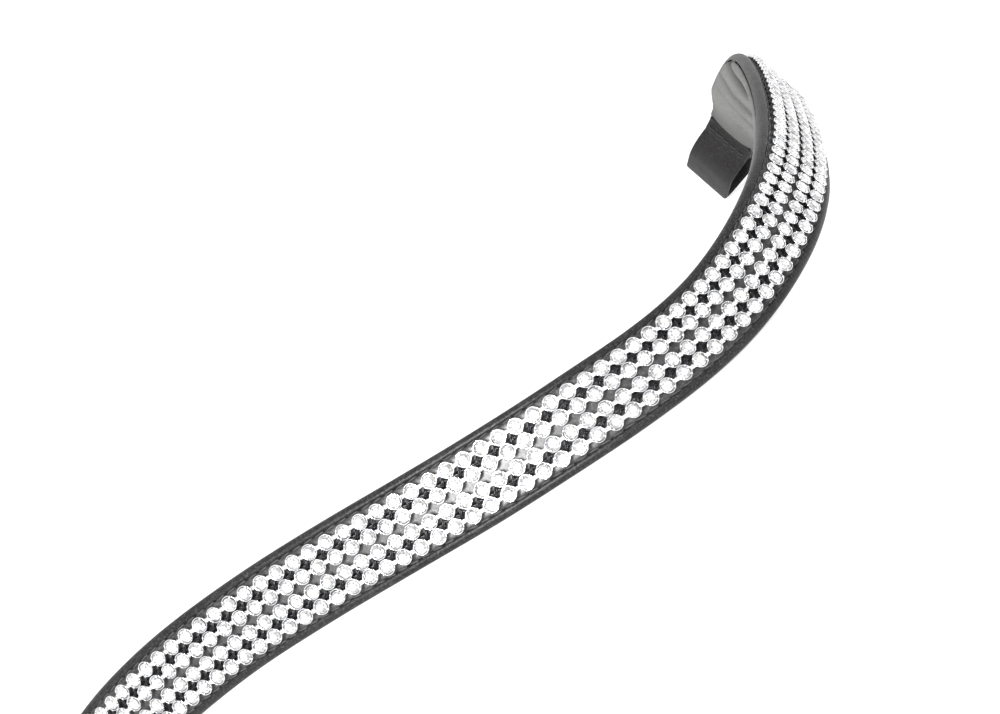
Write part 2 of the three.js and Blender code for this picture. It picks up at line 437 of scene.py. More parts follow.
def leather(name, dark, light, fleck, roughness, grain, depth, specular, with_painted_shade=False):
    """Leather with pores and fine flecks. grain is the number of cells in a metre, depth their depth in
    metres. Leather made with the point attribute "soil" gets painted shade: its colour is painted darker
    where that attribute is high."""
    material, nodes, links, shader, vector = new_material(name)
    mottle = noise_node(nodes, links, vector, scale=90, detail=6)
    colour = ramp_node(nodes, links, mottle, [(0.3, dark), (0.7, light)])
    flecks = noise_node(nodes, links, vector, scale=grain, detail=2, roughness=0.7)
    amount = ramp_node(nodes, links, flecks, [(0.5, grey(0)), (0.72, grey(1))])
    colour = mix_node(nodes, links, "MIX", amount, colour, (*fleck, 1))
    # painted shade: the colour is mixed towards near black where the point attribute is high
    if with_painted_shade:
        painted_shade = nodes.new("ShaderNodeAttribute")
        painted_shade.attribute_name = "painted_shade"
        colour = mix_node(nodes, links, "MIX", painted_shade.outputs["Fac"], colour, PAINTED_SHADE_COLOUR)
    links.new(colour, shader.inputs["Base Color"])
    patches = noise_node(nodes, links, vector, scale=700, detail=3)
    links.new(range_node(nodes, links, patches, *roughness), shader.inputs["Roughness"])
    cells = nodes.new("ShaderNodeTexVoronoi")
    cells.feature = "SMOOTH_F1"
    cells.inputs["Scale"].default_value = grain
    cells.inputs["Randomness"].default_value = 0.9
    links.new(vector, cells.inputs["Vector"])
    coarse = bump_node(nodes, links, cells.outputs["Distance"], strength=0.6, distance=depth)
    fine = noise_node(nodes, links, vector, scale=2.7 * grain, detail=3)
    normal = bump_node(nodes, links, fine, strength=0.4, distance=0.5 * depth, before=coarse)
    links.new(normal, shader.inputs["Normal"])
    shader.inputs["Specular IOR Level"].default_value = specular
    return material


def thread_material(name, colour, roughness):
    """Twisted thread whose fibres catch a little more light than the rest."""
    material, nodes, links, shader, vector = new_material(name)
    fibres = noise_node(nodes, links, vector, scale=5200, detail=4, roughness=0.7)
    lighter = tuple(min(1, 2.2 * c + 0.003) for c in colour)
    tint = ramp_node(nodes, links, fibres, [(0.35, colour), (0.75, lighter)])
    links.new(tint, shader.inputs["Base Color"])
    links.new(bump_node(nodes, links, fibres, strength=0.5, distance=0.00006), shader.inputs["Normal"])
    links.new(range_node(nodes, links, fibres, *roughness), shader.inputs["Roughness"])
    return material


def silver_material(name, dark, light, roughness):
    """Plated metal, tarnished in patches and finely scratched."""
    material, nodes, links, shader, vector = new_material(name)
    tarnish = noise_node(nodes, links, vector, scale=700, detail=5)
    links.new(ramp_node(nodes, links, tarnish, [(0.3, dark), (0.6, light)]), shader.inputs["Base Color"])
    links.new(range_node(nodes, links, tarnish, *roughness), shader.inputs["Roughness"])
    scratches = noise_node(nodes, links, vector, scale=4200, detail=2)
    normal = bump_node(nodes, links, scratches, strength=0.15, distance=0.00002)
    links.new(normal, shader.inputs["Normal"])
    shader.inputs["Metallic"].default_value = 1
    return material


def crystal_material():
    """Foil-backed crystal with painted reflections: each facet has a painted brightness of its own,
    tinted a little cool or warm by painted fire.
    """
    material, nodes, links, shader, vector = new_material("foiled_crystal")
    facets = nodes.new("ShaderNodeAttribute")
    facets.attribute_name = "facet"
    fire = noise_node(nodes, links, vector, scale=1500, detail=1)
    tint = ramp_node(nodes, links, fire, PAINTED_FIRE_TINTS)
    colour = mix_node(nodes, links, "MULTIPLY", 1, facets.outputs["Color"], tint)
    links.new(colour, shader.inputs["Base Color"])
    shader.inputs["Metallic"].default_value = 0.85
    shader.inputs["Roughness"].default_value = 0.06
    shader.inputs["IOR"].default_value = 1.6
    shader.inputs["Coat Weight"].default_value = 1
    shader.inputs["Coat Roughness"].default_value = 0.02
    return material


def fibre_material(name, dark, light, scale, roughness):
    """Matt material of the hidden layers."""
    material, nodes, links, shader, vector = new_material(name)
    fibres = noise_node(nodes, links, vector, scale, detail=5, roughness=0.65)
    links.new(ramp_node(nodes, links, fibres, [(0.3, dark), (0.7, light)]), shader.inputs["Base Color"])
    links.new(bump_node(nodes, links, fibres, strength=0.6, distance=0.0001), shader.inputs["Normal"])
    shader.inputs["Roughness"].default_value = roughness
    return material


RIM = leather(
    "rim_leather", dark=grey(0.004), light=grey(0.011), fleck=grey(0.045),
    roughness=(0.34, 0.48), grain=2300, depth=0.0001, specular=0.27,
)
# Painted light: the channel between the rims is the same black leather as the rims, painted lighter to
# stand in for the light that the key lamp and the silver cups throw on it
CHANNEL_PAINTED_LIGHT = leather(
    "channel_leather_painted_light", dark=grey(0.026), light=grey(0.048), fleck=grey(0.1),
    roughness=(0.34, 0.45), grain=2000, depth=0.00004, specular=0.6,
)
LINING = leather(
    "lining_leather", dark=(0.12, 0.12, 0.118), light=(0.18, 0.18, 0.177), fleck=(0.2, 0.2, 0.197),
    roughness=(0.55, 0.7), grain=1900, depth=0.00013, specular=0.14, with_painted_shade=True,
)
LOOP = leather(
    "loop_leather", dark=(0.01, 0.009, 0.01), light=(0.016, 0.015, 0.016), fleck=(0.03, 0.029, 0.028),
    roughness=(0.5, 0.62), grain=2400, depth=0.00007, specular=0.12,
)
WAXED_THREAD = thread_material("waxed_thread", colour=(0.002, 0.002, 0.003), roughness=(0.15, 0.3))
DULL_THREAD = thread_material("dull_thread", colour=grey(0.006), roughness=(0.6, 0.8))
GREY_THREAD = thread_material("grey_thread", colour=(0.035, 0.035, 0.036), roughness=(0.4, 0.6))
SILVER = silver_material("silver_plate", (0.78, 0.78, 0.8), (0.95, 0.95, 0.96), roughness=(0.1, 0.26))
# painted shade: darker silver for the cups' insides, round each stone
CUP_PAINTED_SHADE = silver_material("silver_painted_shade", grey(0.2), (0.4, 0.4, 0.41), roughness=(0.35, 0.6))
CRYSTAL = crystal_material()
COTTON = fibre_material("cotton_cord", (0.5, 0.46, 0.38), (0.74, 0.7, 0.62), scale=2600, roughness=0.9)
NYLON = fibre_material("nylon_web", (0.6, 0.6, 0.56), (0.82, 0.82, 0.78), scale=3400, roughness=0.6)
FOAM = fibre_material("foam_rubber", (0.16, 0.16, 0.165), grey(0.3), scale=1500, roughness=0.95)


# ---------------------------------------------------------------- front leather

# between the rims the leather is also painted lighter, as painted light
CHANNEL_HALF_WIDTH = 6.5  # the leather between the rims is smoother
RIM_INNER = 0.75  # width of the half of a rim on the channel's side
FOOT_INSET = 0.12
FACE_HEIGHTS = (-2.6, -1.9)  # between these the uneven, stitched face of the leather begins
FRONT_BUMPS = [(0.055, 9, 3, 1), (0.03, 2.6, 1.6, 2)]  # (height, length along, length across, seed)
SEAM_SPREAD = 0.3
SEAM_DEPTH = 0.05
STITCH_DEPTH = 0.04  # how much deeper the seam is at a stitch's hole
EDGE_WAVER = 0.05
EDGE_WAVER_LENGTH = 14
EDGE_WAVER_OVER = (6.5, 8)  # distances across the band
PRESSED_OVER = (4.5, 0.4)  # distances from the end over which the leather is pressed flat
FRONT_END_TOP = -2.45
FRONT_END_UNDER = -2.95


def front_outline():
    """Outline of the front leather, and the share of its length that is the upper face."""
    rim = HALF_WIDTH - RIM_RADIUS
    pocket = RIM_RADIUS - RIM_WALL
    under = FLOOR - FRONT_THICKNESS
    meet = math.degrees(math.asin((FLOOR - RIM_CENTRE) / RIM_RADIUS))
    upper = np.concatenate([
        [[HALF_WIDTH - FOOT_INSET, FRONT_FOOT]],
        arc(rim, RIM_CENTRE, RIM_RADIUS, RIM_RADIUS, 0, 85, 10),
        arc(rim, RIM_CENTRE, RIM_INNER, RIM_RADIUS, 90, 180 - meet, 8),
        arc(-rim, RIM_CENTRE, RIM_INNER, RIM_RADIUS, meet, 90, 8),
        arc(-rim, RIM_CENTRE, RIM_RADIUS, RIM_RADIUS, 95, 180, 10),
        [[-HALF_WIDTH + FOOT_INSET, FRONT_FOOT]],
    ])
    lower = np.concatenate([
        [[-rim - pocket, FRONT_FOOT]],
        arc(-rim, RIM_CENTRE, pocket, pocket, 180, 0, 7),
        [[-rim + pocket, under], [rim - pocket, under]],
        arc(rim, RIM_CENTRE, pocket, pocket, 180, 0, 7),
        [[rim + pocket, FRONT_FOOT]],
    ])
    outline = np.concatenate([upper, lower])
    return outline, distances(upper)[-1] / distances(closed(outline))[-1]


def front_leather():
    """Channel between two rolled rims, a little uneven, drawn in at each stitch of the edge seams and
    pressed flat at both ends."""
    outline, upper_share = front_outline()
    along, across, out = sweep(rounded(outline, step=0.3, passes=3), FRONT_END, step=0.55)
    is_upper = np.arange(out.shape[1]) < upper_share * out.shape[1]
    stitches = np.cos(2 * np.pi * along / EDGE_STITCH)
    seam = np.exp(-((np.abs(across) - EDGE_SEAM) / SEAM_SPREAD) ** 2)
    pull = seam * (SEAM_DEPTH + STITCH_DEPTH * stitches)
    out += smoothstep(out, *FACE_HEIGHTS) * (bumps(along, across, FRONT_BUMPS) - pull)
    waver = EDGE_WAVER * noise(along / EDGE_WAVER_LENGTH, np.sign(across) * 3, seed=5)
    across += waver * smoothstep(np.abs(across), *EDGE_WAVER_OVER)
    pressed = smoothstep(FRONT_END - np.abs(along), *PRESSED_OVER)
    out -= pressed * np.maximum(out - np.where(is_upper, FRONT_END_TOP, FRONT_END_UNDER), 0)
    points = place(along, across, out)
    faces = tube_faces(*out.shape)
    piece = make_piece("front_leather_strap", points, faces, [RIM, CHANNEL_PAINTED_LIGHT])
    # the channel's faces get the leather with painted light
    studded = np.abs(along - ROW_SHIFT) < (STONES_EACH_SIDE + 0.5) * PITCH
    channel = (studded & (np.abs(across) < CHANNEL_HALF_WIDTH)).ravel()
    piece.data.polygons.foreach_set("material_index", [int(channel[face].all()) for face in faces])
    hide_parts("front_leather")


# ---------------------------------------------------------------- lining

LINING_END = 172.3
LINING_FOLD = 0.35  # radius of the lining's turned edge
LINING_FOLD_DROP = 0.38
LINING_SKIN = (4.0, 4.8)  # depths between which the lining's outer face begins
LINING_BUMPS = [(0.1, 11, 6, 11), (0.05, 4, 2.5, 12)]  # (height, length along, length across, seed)
SOFT_UNTIL = (0.9, 1.0)  # shares of the half width between which the creases and bumps stop
PUCKER = 0.09
PUCKER_FROM = (0.86, 0.97)
# painted shade of the lining: how much its colour is darkened in the creases and towards the ends, the
# span of the ends, and the most darkening
PAINTED_SHADE_IN_CREASES = 1.1
PAINTED_SHADE_AT_ENDS = 0.5
PAINTED_SHADE_ENDS = (160, 173)
PAINTED_SHADE_MOST = 0.9
CREASES = [  # each is (along, across) at both ends, then width and depth, and is on both halves
    (123, 7.8, 139, -2.5, 9.5, 1.15),
    (144, 7.8, 153, -5.0, 6.5, 0.45),
    (154, 6.5, 160, -6.0, 3.2, 0.25),
    (106, 7.0, 114, -6.5, 3.8, 0.5),
    (22, 7.0, 27, -7.0, 2.2, 0.4),
    (32, 7.5, 34, -5.0, 1.8, 0.45),
    (42, 6.0, 47, -7.5, 2.4, 0.35),
    (13, 5.5, 15, -7.0, 2.2, 0.3),
]
CREASE_WANDER = 0.8
CREASE_IN = (-2, 1.5)  # distances from a crease's start between which it fades in
CREASE_OUT = (-1, 3)  # distances before its end between which it fades out
VALLEY_SPREAD = 0.42  # against the crease's width
RIDGE_SPREAD = 0.5
RIDGE_HEIGHT = 0.3  # against the crease's depth


def crease_depth(along, across):
    """How deep the creases are at flat places: a narrow valley between two soft ridges."""
    depth = np.zeros(along.shape)
    for start_along, start_across, end_along, end_across, width, deep in CREASES:
        line = np.array([end_along - start_along, end_across - start_across], float)
        length = np.linalg.norm(line)
        line /= length
        gone = (np.abs(along) - start_along) * line[0] + (across - start_across) * line[1]
        off = (np.abs(along) - start_along) * -line[1] + (across - start_across) * line[0]
        off += CREASE_WANDER * noise(across / 3, start_along, seed=9)
        fade = smoothstep(gone, *CREASE_IN) * smoothstep(length - gone, *CREASE_OUT)
        valley = np.exp(-np.abs(off) / (VALLEY_SPREAD * width))
        ridges = RIDGE_HEIGHT * np.exp(-((np.abs(off) - width) / (RIDGE_SPREAD * width)) ** 2)
        depth += deep * fade * (valley - ridges)
    return depth


def lining_leather():
    """Soft lining drawn tight over the padding, creased where the band bends, with painted shade in the
    creases and towards both ends."""
    fold_place = LINING_HALF_WIDTH - LINING_FOLD
    fold_height = FRONT_FOOT - LINING_FOLD_DROP
    inner = LINING_HALF_WIDTH - LINING_THICKNESS
    outline = np.concatenate([
        arc(fold_place, fold_height, LINING_FOLD, LINING_FOLD, 180, -10, 7),
        arc(0, LINING_SIDE, LINING_HALF_WIDTH, LINING_BULGE, -2, -178, 60),
        arc(-fold_place, fold_height, LINING_FOLD, LINING_FOLD, 190, 0, 7),
        arc(0, LINING_SIDE, inner, LINING_BULGE - LINING_THICKNESS, 180, 360, 40),
    ])
    along, across, out = sweep(rounded(outline, step=0.28, passes=2), LINING_END, step=0.5)
    edge = np.abs(across) / (LINING_HALF_WIDTH * width_ratio(along))
    pucker = PUCKER * np.cos(2 * np.pi * along / EDGE_STITCH) * smoothstep(edge, *PUCKER_FROM)
    creases = crease_depth(along, across)
    soft = (creases + bumps(along, across, LINING_BUMPS)) * (1 - smoothstep(edge, *SOFT_UNTIL))
    out += smoothstep(-out, *LINING_SKIN) * (soft + pucker)
    points = place(along, across, thinned(along, out, FRONT_FOOT))
    piece = make_piece("lining_leather_skin", points, tube_faces(*out.shape), [LINING])
    # painted shade: darker in the creases and towards the loops
    painted_shade = PAINTED_SHADE_IN_CREASES * creases + PAINTED_SHADE_AT_ENDS * smoothstep(np.abs(along), *PAINTED_SHADE_ENDS)
    layer = piece.data.attributes.new("painted_shade", "FLOAT", "POINT")
    layer.data.foreach_set("value", np.clip(painted_shade, 0, PAINTED_SHADE_MOST).ravel())
    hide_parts("lining_leather")


# ---------------------------------------------------------------- hidden layers

PAD_HALF_WIDTH = 6.8
PAD_BULGE = 0.8
PAD_SKIN = (3.7, 4.3)
PAD_BUMPS = [(0.05, 3, 3, 21)]  # (height, length along, length across, seed)
RIB_HEIGHT = 0.03
RIB_LENGTH = 2
RIB_WIDTH = 0.75
CORD_STEP = 0.8
CORD_PLIES = 3
CORD_LAY = 5  # length of one turn of the plies
PLY_RADIUS = 0.25
PLY_PLACE = 0.26


def padding():
    """Foam under the lining, creased as the lining is."""
    outline = np.concatenate([
        [[PAD_HALF_WIDTH, PAD_TOP], [-PAD_HALF_WIDTH, PAD_TOP]],
        arc(0, LINING_SIDE, PAD_HALF_WIDTH, PAD_BULGE, 180, 360, 30),
    ])
    along, across, out = sweep(rounded(outline, step=0.5, passes=1), HIDDEN_END, step=2)
    out += bumps(along, across, PAD_BUMPS)
    out += smoothstep(-out, *PAD_SKIN) * crease_depth(along, across)
    points = place(along, across, thinned(along, out, PAD_TOP))
    piece = make_piece("padding", points, tube_faces(*out.shape), [FOAM])
    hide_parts("foam_pad")


def stiffening_tape():
    """Woven tape that keeps the band from stretching."""
    top = FLOOR - FRONT_THICKNESS - GAP
    under = top - WEB_THICKNESS
    half = WEB_HALF_WIDTH
    outline = np.array([[-half, top], [half, top], [half, under], [-half, under]])
    along, across, out = sweep(rounded(outline, step=0.25, passes=1), HIDDEN_END, step=1)
    ribs = np.cos(2 * np.pi * along / RIB_LENGTH) * np.cos(2 * np.pi * across / RIB_WIDTH)
    points = place(along, across, out + RIB_HEIGHT * ribs)
    piece = make_piece("stiffening_tape", points, tube_faces(*out.shape), [NYLON])
    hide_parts("stiffener_web")


def filler_cord(edge, side):
    """Twisted cord that fills a rim."""
    along = np.arange(-HIDDEN_END, HIDDEN_END, CORD_STEP)
    middle = side * (HALF_WIDTH - RIM_RADIUS) * width_ratio(along)
    plies = []
    for ply in range(CORD_PLIES):
        phase = 2 * np.pi * (along / CORD_LAY + ply / CORD_PLIES)
        across = middle + PLY_PLACE * np.cos(phase)
        out = RIM_CENTRE + PLY_PLACE * np.sin(phase)
        plies.append(tube(np.stack([along, across, out], -1), PLY_RADIUS, sides=7))
    points, faces = join_copies(plies)
    piece = make_piece(f"filler_cord_{edge}", bent(points), faces, [COTTON])
    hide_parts(f"rim_cord_{edge}")


# ---------------------------------------------------------------- threads

EDGE_HEIGHT = -1.33
EDGE_THREAD_RADIUS = 0.13
EDGE_STITCH_HALF = 0.4 * EDGE_STITCH
EDGE_LIFT = 0.14
EDGE_DIP = 0.42
EDGE_SLANT = 0.09
CHAIN_THREAD_HEIGHT = -1.15
CHAIN_THREAD_RADIUS = 0.2
CHAIN_THREAD_SWELL = 0.25
CHAIN_THREAD_STEP = 0.2
CHAIN_THREAD_TWIST = 0.17  # distance of the two threads from their middle
CHAIN_THREAD_PHASE = 0.6
CROSS_TOP = -0.55
CROSS_DIP = 0.95
CROSS_REACH = 1.1
CROSS_RADIUS = 0.15
CROSS_WOBBLE = 0.06
CROSS_PAIR = ((-0.17, 0.6), (0.17, 0.52))  # place along and lean of the two short stitches at a gap


def edge_stitches(edge, side):
    """Single stitches along the foot of a rim: each goes down into its hole at both ends."""
    copies = []
    part = np.linspace(-1, 1, 9)
    across = side * (EDGE_SEAM + EDGE_SLANT * part)
    out = EDGE_HEIGHT + EDGE_LIFT - EDGE_DIP * np.abs(part) ** 3
    for middle in np.arange(-CHAIN_END, CHAIN_END, EDGE_STITCH) + EDGE_STITCH / 2:
        path = np.stack([middle + EDGE_STITCH_HALF * part, across, out], -1)
        copies.append(tube(path, EDGE_THREAD_RADIUS, sides=6))
    points, faces = join_copies(copies)
    piece = make_piece(f"edge_stitches_{edge}", bent(points), faces, [GREY_THREAD])
    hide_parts(f"edge_thread_{edge}")


def chain_stitches(edge, side):
    """Stout doubled thread between an outer and an inner chain, with short stitches across each gap."""
    middle = side * (CHAIN_PLACES[0] + CHAIN_PLACES[1]) / 2
    copies = []
    along = np.arange(-CHAIN_END, CHAIN_END + CHAIN_THREAD_STEP / 2, CHAIN_THREAD_STEP)
    turns = 2 * np.pi * along / PITCH
    radius = CHAIN_THREAD_RADIUS * (1 - CHAIN_THREAD_SWELL * np.cos(turns))
    for start in (0, np.pi):
        phase = turns + start + CHAIN_THREAD_PHASE
        across = middle + CHAIN_THREAD_TWIST * np.cos(phase)
        out = CHAIN_THREAD_HEIGHT + CHAIN_THREAD_TWIST * np.sin(phase)
        copies.append(tube(np.stack([along, across, out], -1), radius, sides=8))
    across = np.linspace(-CROSS_REACH, CROSS_REACH, 13)
    out = CROSS_TOP - CROSS_DIP * np.abs(across / CROSS_REACH) ** 3
    for number in range(-STONES_EACH_SIDE, STONES_EACH_SIDE):
        for shift, lean in CROSS_PAIR:
            wobble = CROSS_WOBBLE * noise(across + 7 * number, 9 * shift, seed=31)
            along = (number + 0.5) * PITCH + shift + lean * across / CROSS_REACH + wobble
            copies.append(tube(np.stack([along, middle + across, out], -1), CROSS_RADIUS, sides=6))
    points, faces = join_copies(copies)
    points[:, 0] += ROW_SHIFT
    piece = make_piece(f"chain_stitches_{edge}", bent(points), faces, [WAXED_THREAD])
    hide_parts(f"chain_thread_{edge}")


# ---------------------------------------------------------------- cup chains

GIRDLE = 1.26  # radius of a stone
GIRDLE_HEIGHT = 0.14
GIRDLE_IN = 0.97  # the girdle's lower edge against its upper edge
TABLE = 0.74
CROWN = 0.46
TABLE_DIP = 0.045
CENTRE_DIP = 0.01
STAR_RATIO = 0.84
STONE_DEPTH = 0.9
CUP_SIDES = 20
CUP_PROFILE = [  # (radius, height) from the foot's middle up to the lip and down to the bottom inside
    (0.02, CUP_FOOT - 0.1),
    (0.92, CUP_FOOT - 0.1),
    (1.0, CUP_FOOT),
    (1.44, -0.5),
    (1.54, -0.06),
    (1.51, 0.02),
    (1.43, 0.06),
    (1.35, -0.02),
    (1.28, -0.5),
    (0.02, -0.95),
]
CUP_INNER_RINGS = 3  # the last points of the profile, which are inside the cup
CLAW_PROFILE = [(1.42, -0.55), (1.5, -0.2), (1.49, 0.04), (1.38, 0.2), (1.21, 0.28), (1.12, 0.27)]
CLAW_HALF_WIDTHS = [0.2, 0.27, 0.27, 0.25, 0.2, 0.11]
CLAW_HALF_THICKNESS = 0.085
LINK_REACH = 0.62
LINK_WAIST = 0.44
LINK_FLARE = 0.16
LINK_HEIGHT = -0.7
LINK_HALF_THICKNESS = 0.13

# Painted reflections: brightness of the eleven facets in an eighth of a stone, from the table out to the
# girdle and below
PAINTED_FACET_SHADES = [1, 0.98, 0.95, 0.6, 0.9, 0.78, 0.78, 0.42, 0.42, 0.5, 0.5]
FACET_CHANGES = [1.0, 0.88, 0.7]  # a facet's shade is multiplied by one of these, ...
FACET_CHANCES = [0.6, 0.28, 0.12]  # ... each with its own chance
CROWN_FACETS = slice(3, 7)
# painted reflection: one side of each crown is painted darker
PAINTED_DARK_SIDE = 0.4  # how much darker the crown's facets get towards one side


def stone_template():
    """Round brilliant with a shallow star in its table. Returns points and facets."""
    eighths = np.arange(8) * np.pi / 4
    between = eighths + np.pi / 8

    def ring(radius, angles, height):
        return np.stack([radius * np.cos(angles), radius * np.sin(angles), np.full(8, height)], -1)

    star_radius = STAR_RATIO * GIRDLE
    star_height = CROWN * (GIRDLE - star_radius * math.cos(math.pi / 8)) / (GIRDLE - TABLE)
    points = np.concatenate([
        [[0, 0, CROWN - CENTRE_DIP]],
        ring(0.5 * TABLE, between, CROWN - TABLE_DIP),
        ring(TABLE, eighths, CROWN),
        ring(star_radius, between, star_height),
        ring(GIRDLE, eighths, 0.0),
        ring(GIRDLE, between, 0.0),
        ring(GIRDLE * GIRDLE_IN, eighths, -GIRDLE_HEIGHT),
        ring(GIRDLE * GIRDLE_IN, between, -GIRDLE_HEIGHT),
        [[0, 0, -STONE_DEPTH]],
    ])
    inner, table, star, main, half, low_main, low_half, culet = range(1, 58, 8)
    faces = []
    for k in range(8):
        n = (k + 1) % 8
        faces += [
            [0, inner + k, inner + n],
            [inner + k, table + n, inner + n],
            [inner + k, table + k, table + n],
            [table + k, star + k, table + n],
            [table + n, star + k, main + n, star + n],
            [star + k, main + k, half + k],
            [star + k, half + k, main + n],
            [main + k, low_main + k, low_half + k, half + k],
            [half + k, low_half + k, low_main + n, main + n],
            [low_main + k, culet, low_half + k],
            [low_half + k, culet, low_main + n],
        ]
    return points, faces


def claw(turn):
    """Points and faces of one claw, bent over the stone at an angle round the cup."""
    across = np.array([-math.sin(turn), math.cos(turn), 0])
    outward = np.array([math.cos(turn), math.sin(turn), 0])
    profile = np.array(CLAW_PROFILE)
    path = profile[:, :1] * outward + profile[:, 1:] * np.array([0, 0, 1.0])
    normal = np.cross(unit(np.gradient(path, axis=0)), across)
    half_width = np.array(CLAW_HALF_WIDTHS)[:, None] * across
    corners = np.arange(6) * np.pi / 3
    ring = [path + math.cos(c) * half_width + CLAW_HALF_THICKNESS * math.sin(c) * normal for c in corners]
    return np.stack(ring, 1).reshape(-1, 3), tube_faces(len(path), len(corners))


def cup_template():
    """Tapered metal cup with four claws. Returns points, faces and which faces are inside."""
    profile = np.array(CUP_PROFILE)
    angle = np.arange(CUP_SIDES) * 2 * np.pi / CUP_SIDES
    heights = np.repeat(profile[:, 1:], CUP_SIDES, axis=1)
    rings = np.stack([profile[:, :1] * np.cos(angle), profile[:, :1] * np.sin(angle), heights], -1)
    claws = [claw(math.radians(45 + 90 * quarter)) for quarter in range(4)]
    points, faces = join_copies([(rings.reshape(-1, 3), tube_faces(len(profile), CUP_SIDES)), *claws])
    inner_points = range(CUP_SIDES * (len(profile) - CUP_INNER_RINGS), CUP_SIDES * len(profile))
    inside = [int(min(face) in inner_points and max(face) in inner_points) for face in faces]
    return points, faces, inside


def link_template():
    """Small waisted bar from one cup to the next. Returns points and faces."""
    along = np.linspace(-LINK_REACH, LINK_REACH, 7)[:, None]
    width = LINK_WAIST + LINK_FLARE * (along / LINK_REACH) ** 2
    angle = np.arange(8) * np.pi / 4
    out = LINK_HEIGHT + LINK_HALF_THICKNESS * np.sin(angle)
    rings = np.stack(np.broadcast_arrays(along, width * np.cos(angle), out), -1)
    return rings.reshape(-1, 3), tube_faces(len(along), len(angle))


def set_in_row(template, along, across, rng, tilt, shift):
    """Copies of a template at flat places, each turned and moved a little as hand-sewn chain is."""
    copies = []
    points, frames = frames_at(along)
    for point, basis, distance in zip(points, frames, along):
        angles = rng.normal(0, tilt, 2)
        nudge = rng.normal(0, shift, 2)
        small = Matrix.Rotation(angles[0], 3, "X") @ Matrix.Rotation(angles[1], 3, "Y")
        local = template @ np.array(small).T + np.array([nudge[0], across + nudge[1], 0])
        mirror = MIRROR if distance < 0 else 1
        placed = (point + (local * mirror) @ basis.T) * mirror
        copies.append((placed @ LEAN_BACK.T + OFFSET) * MM)
    return copies


def cup_row(row, across, places):
    """Cups and links of one chain, with painted shade inside the cups."""
    rng = np.random.default_rng(100 + row)
    cup, cup_faces, inside = cup_template()
    link, link_faces = link_template()
    cups = set_in_row(cup, places, across, rng, tilt=0.02, shift=0.03)
    links = set_in_row(link, places[:-1] + PITCH / 2, across, rng, tilt=0.02, shift=0.02)
    copies = [(points, cup_faces) for points in cups] + [(points, link_faces) for points in links]
    points, faces = join_copies(copies)
    piece = make_piece(f"cup_row_{row}", points, faces, [SILVER, CUP_PAINTED_SHADE])
    # painted shade on the faces inside the cups
    dark = np.zeros(len(faces), int)
    dark[:len(places) * len(inside)] = np.tile(inside, len(places))
    piece.data.polygons.foreach_set("material_index", dark)
    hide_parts(f"crystal_chain_{row}")


def painted_facet_shades(count, rng):
    """Painted reflections: brightness of each facet of each stone. Some are dimmer by chance, and each
    stone has a darker side."""
    changes = rng.choice(FACET_CHANGES, (count, 8, len(PAINTED_FACET_SHADES)), p=FACET_CHANCES)
    shades = np.tile(PAINTED_FACET_SHADES, (count, 8, 1)) * changes
    darkest = rng.uniform(0, 2 * np.pi, (count, 1, 1))
    nearness = np.clip(np.cos(np.arange(8)[:, None] * np.pi / 4 - darkest), 0, 1)
    shades[..., CROWN_FACETS] *= 1 - PAINTED_DARK_SIDE * nearness
    return shades.ravel()


def stone_row(row, across, places):
    """Stones of one chain, each turned at random in its cup."""
    rng = np.random.default_rng(200 + row)
    stone, facets = stone_template()
    spins = [Matrix.Rotation(rng.uniform(0, math.pi / 4), 3, "Z") for _ in places]
    stones = []
    for along, spin in zip(places, spins):
        turned = stone @ np.array(spin).T
        stones += set_in_row(turned, np.array([along]), across, rng, tilt=0.035, shift=0.03)
    points, faces = join_copies([(points, facets) for points in stones])
    piece = make_piece(f"stone_row_{row}", points, faces, [CRYSTAL], smooth=False)
    sides = [len(face) for face in faces]
    # painted reflections: each facet's brightness goes into the colour attribute
    colours = np.ones((sum(sides), 4))
    colours[:, :3] = np.repeat(painted_facet_shades(len(places), rng), sides)[:, None]
    layer = piece.data.color_attributes.new("facet", "FLOAT_COLOR", "CORNER")
    layer.data.foreach_set("color", colours.ravel())
    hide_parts(f"crystal_chain_{row}")


def crystal_chain(row, across):
    """Cups, links and stones of one chain."""
    places = np.arange(-STONES_EACH_SIDE, STONES_EACH_SIDE + 1) * PITCH + ROW_SHIFT
    cup_row(row, across, places)
    stone_row(row, across, places)


# ---------------------------------------------------------------- loops

STRAP_TRIM = 0.02
STRAP_STEP = 0.4
STRAP_ROUND = 0.34
STRAP_EXTRA = 0.03  # what softening the outline takes off the strap's edges again
STRAP_BUMP = 0.06
STRAP_WAVER = 0.05
ROOT_HIDDEN = 1.3  # the root starts under the end of the front leather, this far before LOOP_START
SKIVED = 0.35  # thickness of the strap's back end, against its full thickness
SKIVED_OVER = (1.6, 5.2)  # distances from that end
TAIL_TOP = -2.97
TAIL_UNDER = -3.34
TAIL_TRIM = 0.4
TAIL_OVERLAP = 1
LOOP_SEAMS = (174.3, 176.4)  # along the band
LOOP_STITCH_PLACES = (-4, -2, 0, 2, 4)  # across the strap
LOOP_STITCH_HALF = 0.72
LOOP_THREAD_RADIUS = 0.17
LOOP_THREAD_LIFT = 0.02
LOOP_THREAD_DIP = 0.34
LOOP_THREAD_SLANT = 0.12


